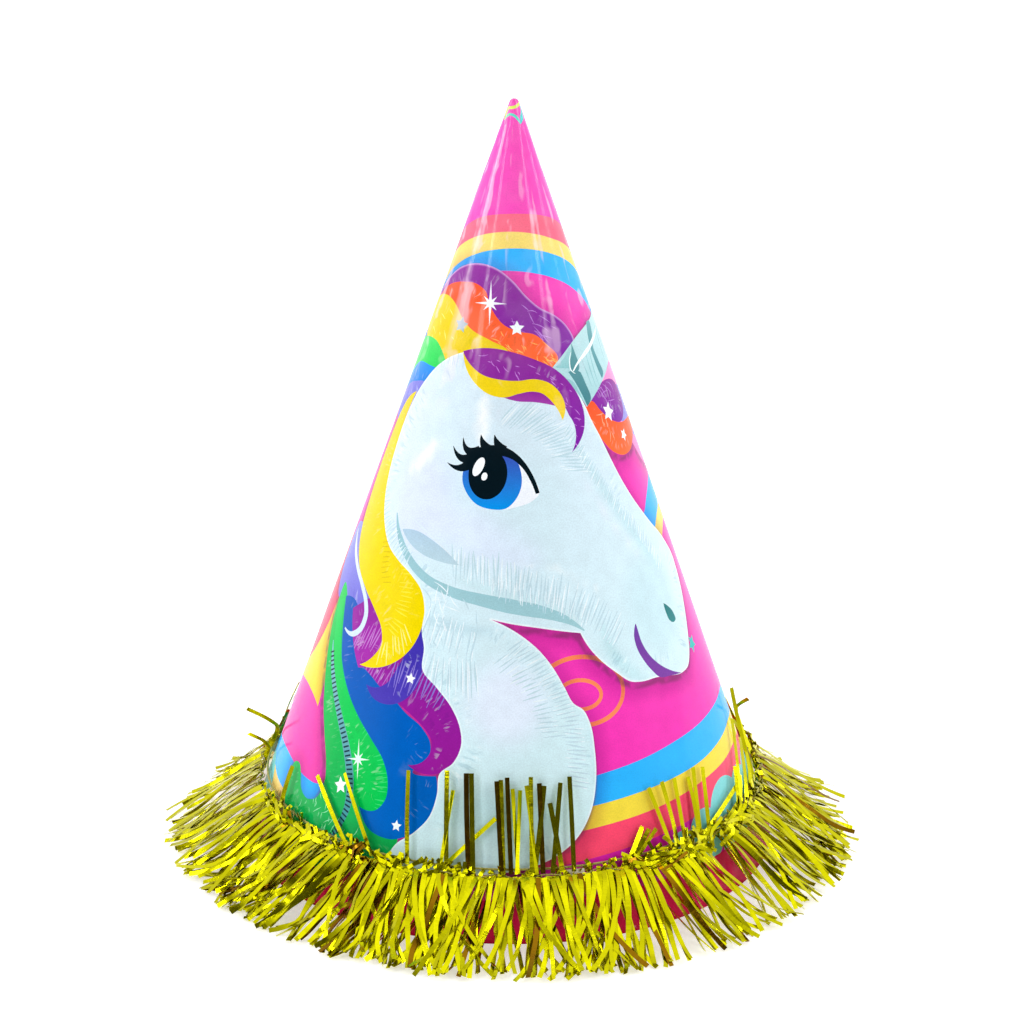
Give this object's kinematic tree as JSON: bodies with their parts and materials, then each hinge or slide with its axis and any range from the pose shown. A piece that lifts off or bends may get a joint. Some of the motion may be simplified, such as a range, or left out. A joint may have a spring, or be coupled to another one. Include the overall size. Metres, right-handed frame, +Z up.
{
  "type": "new year party hat",
  "caption": "Cone party hat of printed card, lapped and glued up the back, with a foil tinsel fringe round the rim.",
  "frame": {"origin": "centre of the open rim, on the surface that the hat stands on", "axes": "+Z up the cone's axis to the tip; the printed front faces -Y; the lapped seam is on +Y"},
  "size_m": [0.16, 0.16, 0.174],
  "materials": {
    "printed_card": "gloss-laminated print outside, plain white card inside",
    "gold_foil": "yellow-gold metallised film, mirror-like and crinkled",
    "thread": "twisted polyester thread",
    "glue": "dried hot-melt glue, translucent"
  },
  "bodies": {
    "root": {"cone_card": "printed_card", "seam_glue": "glue", "glue_dots": "glue", "foil_heading": "gold_foil", "binding_thread_inner": "thread", "binding_thread_outer": "thread", "fringe_tuft_01": "gold_foil", "fringe_tuft_02": "gold_foil", "fringe_tuft_03": "gold_foil", "fringe_tuft_04": "gold_foil", "fringe_tuft_05": "gold_foil", "fringe_tuft_06": "gold_foil", "fringe_tuft_07": "gold_foil", "fringe_tuft_08": "gold_foil", "fringe_tuft_09": "gold_foil", "fringe_tuft_10": "gold_foil", "fringe_tuft_11": "gold_foil", "fringe_tuft_12": "gold_foil", "fringe_tuft_13": "gold_foil", "fringe_tuft_14": "gold_foil", "fringe_tuft_15": "gold_foil", "fringe_tuft_16": "gold_foil", "fringe_tuft_17": "gold_foil", "fringe_tuft_18": "gold_foil", "fringe_tuft_19": "gold_foil", "fringe_tuft_20": "gold_foil", "fringe_tuft_21": "gold_foil", "fringe_tuft_22": "gold_foil", "fringe_tuft_23": "gold_foil", "fringe_tuft_24": "gold_foil", "standing_strands_01": "gold_foil", "standing_strands_02": "gold_foil", "standing_strands_03": "gold_foil", "standing_strands_04": "gold_foil", "standing_strands_05": "gold_foil", "standing_strands_06": "gold_foil", "standing_strands_07": "gold_foil", "standing_strands_08": "gold_foil", "standing_strands_09": "gold_foil", "standing_strands_10": "gold_foil", "standing_strands_11": "gold_foil", "standing_strands_12": "gold_foil"}
  },
  "joints": []
}
